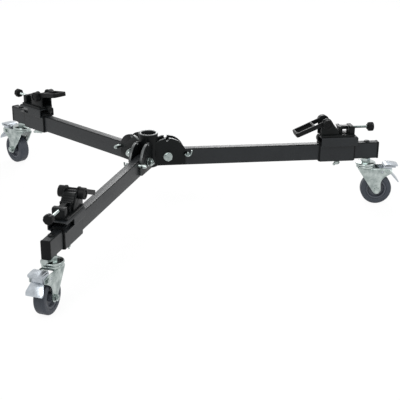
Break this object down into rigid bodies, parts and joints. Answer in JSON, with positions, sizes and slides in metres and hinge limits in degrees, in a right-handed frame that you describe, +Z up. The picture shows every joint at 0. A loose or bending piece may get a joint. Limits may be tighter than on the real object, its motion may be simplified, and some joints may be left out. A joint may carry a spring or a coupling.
{
  "type": "tripod dolly",
  "caption": "Folding wheeled base for a camera tripod: a hub tube, arms with sliding foot clamps and braked swivel casters.",
  "frame": {"origin": "on the floor under the middle of the footprint's bounding box, with the arms level at rest", "axes": "+Z up; the right arm points along +X; +Y lies across it, towards the rear arm"},
  "size_m": [0.9409, 1.0776, 0.2332],
  "materials": {
    "arm_paint": "satin powder coat",
    "black_paint": "satin powder coat",
    "black_plastic": "fine moulded grain",
    "zinc": "bright zinc plating",
    "wheel_tread": "matt",
    "wheel_core": "matt"
  },
  "bodies": {
    "hub": {"hub_frame": "black_paint", "right_pivot_bolt": "zinc", "rear_pivot_bolt": "zinc", "front_pivot_bolt": "zinc"},
    "right_arm": {"right_arm_tube": "arm_paint", "right_end_cap": "black_plastic", "right_caster_stem": "zinc"},
    "right_pin": {"right_lock_pin": "zinc"},
    "right_slider": {"right_carriage": "arm_paint", "right_carriage_liner": "black_plastic", "right_clamp_bracket": "black_paint", "right_strap_spring": "black_paint"},
    "right_wing": {"right_wing_screw": "zinc"},
    "right_lever": {"right_clamp_lever": "black_plastic"},
    "right_inner_jaw_body": {"right_inner_jaw": "black_paint"},
    "right_outer_jaw_body": {"right_outer_jaw": "black_paint"},
    "right_screw": {"right_jaw_screw": "black_plastic"},
    "right_swivel": {"right_caster_fork": "zinc", "right_axle_bolt": "zinc"},
    "right_wheel": {"right_tyre": "wheel_tread", "right_wheel_core": "wheel_core"},
    "right_pedal": {"right_brake_pedal": "zinc"},
    "rear_arm": {"rear_arm_tube": "arm_paint", "rear_end_cap": "black_plastic", "rear_caster_stem": "zinc"},
    "rear_pin": {"rear_lock_pin": "zinc"},
    "rear_slider": {"rear_carriage": "arm_paint", "rear_carriage_liner": "black_plastic", "rear_clamp_bracket": "black_paint", "rear_strap_spring": "black_paint"},
    "rear_wing": {"rear_wing_screw": "zinc"},
    "rear_lever": {"rear_clamp_lever": "black_plastic"},
    "rear_inner_jaw_body": {"rear_inner_jaw": "black_paint"},
    "rear_outer_jaw_body": {"rear_outer_jaw": "black_paint"},
    "rear_screw": {"rear_jaw_screw": "black_plastic"},
    "rear_swivel": {"rear_caster_fork": "zinc", "rear_axle_bolt": "zinc"},
    "rear_wheel": {"rear_tyre": "wheel_tread", "rear_wheel_core": "wheel_core"},
    "rear_pedal": {"rear_brake_pedal": "zinc"},
    "front_arm": {"front_arm_tube": "arm_paint", "front_end_cap": "black_plastic", "front_caster_stem": "zinc"},
    "front_pin": {"front_lock_pin": "zinc"},
    "front_slider": {"front_carriage": "arm_paint", "front_carriage_liner": "black_plastic", "front_clamp_bracket": "black_paint", "front_strap_spring": "black_paint"},
    "front_wing": {"front_wing_screw": "zinc"},
    "front_lever": {"front_clamp_lever": "black_plastic"},
    "front_inner_jaw_body": {"front_inner_jaw": "black_paint"},
    "front_outer_jaw_body": {"front_outer_jaw": "black_paint"},
    "front_screw": {"front_jaw_screw": "black_plastic"},
    "front_swivel": {"front_caster_fork": "zinc", "front_axle_bolt": "zinc"},
    "front_wheel": {"front_tyre": "wheel_tread", "front_wheel_core": "wheel_core"},
    "front_pedal": {"front_brake_pedal": "zinc"}
  },
  "joints": [
    {"name": "right_fold", "type": "hinge", "parent": "hub", "child": "right_arm", "pos_m": [-0.10126, -0.00047, 0.15461], "axis": [0, -1, 0], "range_deg": [0, 85]},
    {"name": "right_pin_slide", "type": "slide", "parent": "right_arm", "child": "right_pin", "axis": [-0.9996, 0, 0.0291], "range_m": [0, 0.0065]},
    {"name": "right_carriage_slide", "type": "slide", "parent": "right_arm", "child": "right_slider", "axis": [-0.9996, 0, 0.0291], "range_m": [-0.003, 0.25]},
    {"name": "right_wing_turn", "type": "hinge", "parent": "right_slider", "child": "right_wing", "pos_m": [0.31612, -0.00047, 0.15815], "axis": [-0.0291, 0, -0.9996], "range_deg": [-90, 0]},
    {"name": "right_lever_turn", "type": "hinge", "parent": "right_slider", "child": "right_lever", "pos_m": [0.28353, -0.00047, 0.21062], "axis": [0, 1, 0], "range_deg": [0, 110]},
    {"name": "right_inner_jaw_slide", "type": "slide", "parent": "right_slider", "child": "right_inner_jaw_body", "axis": [-0.9996, 0, 0.0291], "range_m": [0, 0.003]},
    {"name": "right_outer_jaw_slide", "type": "slide", "parent": "right_slider", "child": "right_outer_jaw_body", "axis": [0.9996, 0, -0.0291], "range_m": [-0.0018, 0.0016]},
    {"name": "right_screw_turn", "type": "hinge", "parent": "right_outer_jaw_body", "child": "right_screw", "pos_m": [0.27164, -0.00047, 0.19726], "axis": [0.9996, 0, -0.0291], "range_deg": [-648.6, 576.6]},
    {"name": "right_swivel_turn", "type": "hinge", "parent": "right_arm", "child": "right_swivel", "pos_m": [0.38932, -0.00047, 0.116], "axis": [0, 0, 1], "continuous": true},
    {"name": "right_wheel_spin", "type": "hinge", "parent": "right_swivel", "child": "right_wheel", "pos_m": [0.41591, -0.00516, 0.0375], "axis": [0.1736, 0.9848, 0], "continuous": true},
    {"name": "right_pedal_turn", "type": "hinge", "parent": "right_swivel", "child": "right_pedal", "pos_m": [0.42773, -0.00724, 0.083], "axis": [0.1736, 0.9848, 0], "range_deg": [0, 12]},
    {"name": "rear_fold", "type": "hinge", "parent": "hub", "child": "rear_arm", "pos_m": [-0.16622, 0.03703, 0.15461], "axis": [0.866, 0.5, 0], "range_deg": [0, 85]},
    {"name": "rear_pin_slide", "type": "slide", "parent": "rear_arm", "child": "rear_pin", "axis": [0.4998, -0.8657, 0.0291], "range_m": [0, 0.0065]},
    {"name": "rear_carriage_slide", "type": "slide", "parent": "rear_arm", "child": "rear_slider", "axis": [-0.4998, 0.8657, -0.0291], "range_m": [-0.25, 0.003]},
    {"name": "rear_wing_turn", "type": "hinge", "parent": "rear_slider", "child": "rear_wing", "pos_m": [-0.3749, 0.39849, 0.15815], "axis": [0.0146, -0.0252, -0.9996], "range_deg": [-90, 0]},
    {"name": "rear_lever_turn", "type": "hinge", "parent": "rear_slider", "child": "rear_lever", "pos_m": [-0.35861, 0.37027, 0.21062], "axis": [-0.866, -0.5, 0], "range_deg": [-31, 79]},
    {"name": "rear_inner_jaw_slide", "type": "slide", "parent": "rear_slider", "child": "rear_inner_jaw_body", "axis": [0.4998, -0.8657, 0.0291], "range_m": [-0.00085, 0.00216]},
    {"name": "rear_outer_jaw_slide", "type": "slide", "parent": "rear_slider", "child": "rear_outer_jaw_body", "axis": [-0.4998, 0.8657, -0.0291], "range_m": [-0.0018, 0.0016]},
    {"name": "rear_screw_turn", "type": "hinge", "parent": "rear_outer_jaw_body", "child": "rear_screw", "pos_m": [-0.35267, 0.35997, 0.19726], "axis": [-0.4998, 0.8657, -0.0291], "range_deg": [-648.6, 576.6]},
    {"name": "rear_swivel_turn", "type": "hinge", "parent": "rear_arm", "child": "rear_swivel", "pos_m": [-0.41151, 0.46188, 0.116], "axis": [0, 0, 1], "continuous": true},
    {"name": "rear_wheel_spin", "type": "hinge", "parent": "rear_swivel", "child": "rear_wheel", "pos_m": [-0.42561, 0.4849, 0.0375], "axis": [-0.8526, -0.5225, 0], "continuous": true},
    {"name": "rear_pedal_turn", "type": "hinge", "parent": "rear_swivel", "child": "rear_pedal", "pos_m": [-0.43188, 0.49514, 0.083], "axis": [-0.8526, -0.5225, 0], "range_deg": [0, 12]},
    {"name": "front_fold", "type": "hinge", "parent": "hub", "child": "front_arm", "pos_m": [-0.16622, -0.03797, 0.15461], "axis": [0.866, -0.5, 0], "range_deg": [-85, 0]},
    {"name": "front_pin_slide", "type": "slide", "parent": "front_arm", "child": "front_pin", "axis": [0.4998, 0.8657, 0.0291], "range_m": [0, 0.0065]},
    {"name": "front_carriage_slide", "type": "slide", "parent": "front_arm", "child": "front_slider", "axis": [-0.4998, -0.8657, -0.0291], "range_m": [-0.25, 0.003]},
    {"name": "front_wing_turn", "type": "hinge", "parent": "front_slider", "child": "front_wing", "pos_m": [-0.3749, -0.39943, 0.15815], "axis": [0.0146, 0.0252, -0.9996], "range_deg": [-90, 0]},
    {"name": "front_lever_turn", "type": "hinge", "parent": "front_slider", "child": "front_lever", "pos_m": [-0.35861, -0.37121, 0.21062], "axis": [0.866, -0.5, 0], "range_deg": [0, 110]},
    {"name": "front_inner_jaw_slide", "type": "slide", "parent": "front_slider", "child": "front_inner_jaw_body", "axis": [0.4998, 0.8657, 0.0291], "range_m": [0, 0.003]},
    {"name": "front_outer_jaw_slide", "type": "slide", "parent": "front_slider", "child": "front_outer_jaw_body", "axis": [-0.4998, -0.8657, -0.0291], "range_m": [-0.0018, 0.0016]},
    {"name": "front_screw_turn", "type": "hinge", "parent": "front_outer_jaw_body", "child": "front_screw", "pos_m": [-0.35267, -0.36091, 0.19726], "axis": [-0.4998, -0.8657, -0.0291], "range_deg": [-648.6, 576.6]},
    {"name": "front_swivel_turn", "type": "hinge", "parent": "front_arm", "child": "front_swivel", "pos_m": [-0.41151, -0.46283, 0.116], "axis": [0, 0, 1], "continuous": true},
    {"name": "front_wheel_spin", "type": "hinge", "parent": "front_swivel", "child": "front_wheel", "pos_m": [-0.42641, -0.48534, 0.0375], "axis": [0.8339, -0.5519, 0], "continuous": true},
    {"name": "front_pedal_turn", "type": "hinge", "parent": "front_swivel", "child": "front_pedal", "pos_m": [-0.43303, -0.49535, 0.083], "axis": [0.8339, -0.5519, 0], "range_deg": [0, 12]}
  ],
  "couplings": [
    {"joint": "right_inner_jaw_slide", "follows": "right_lever_turn", "m_per_rad": 0.0015626},
    {"joint": "right_screw_turn", "follows": "right_outer_jaw_slide", "rad_per_m": 6283.2},
    {"joint": "rear_inner_jaw_slide", "follows": "rear_lever_turn", "m_per_rad": 0.0015626},
    {"joint": "rear_screw_turn", "follows": "rear_outer_jaw_slide", "rad_per_m": 6283.2},
    {"joint": "front_inner_jaw_slide", "follows": "front_lever_turn", "m_per_rad": 0.0015626},
    {"joint": "front_screw_turn", "follows": "front_outer_jaw_slide", "rad_per_m": 6283.2}
  ]
}
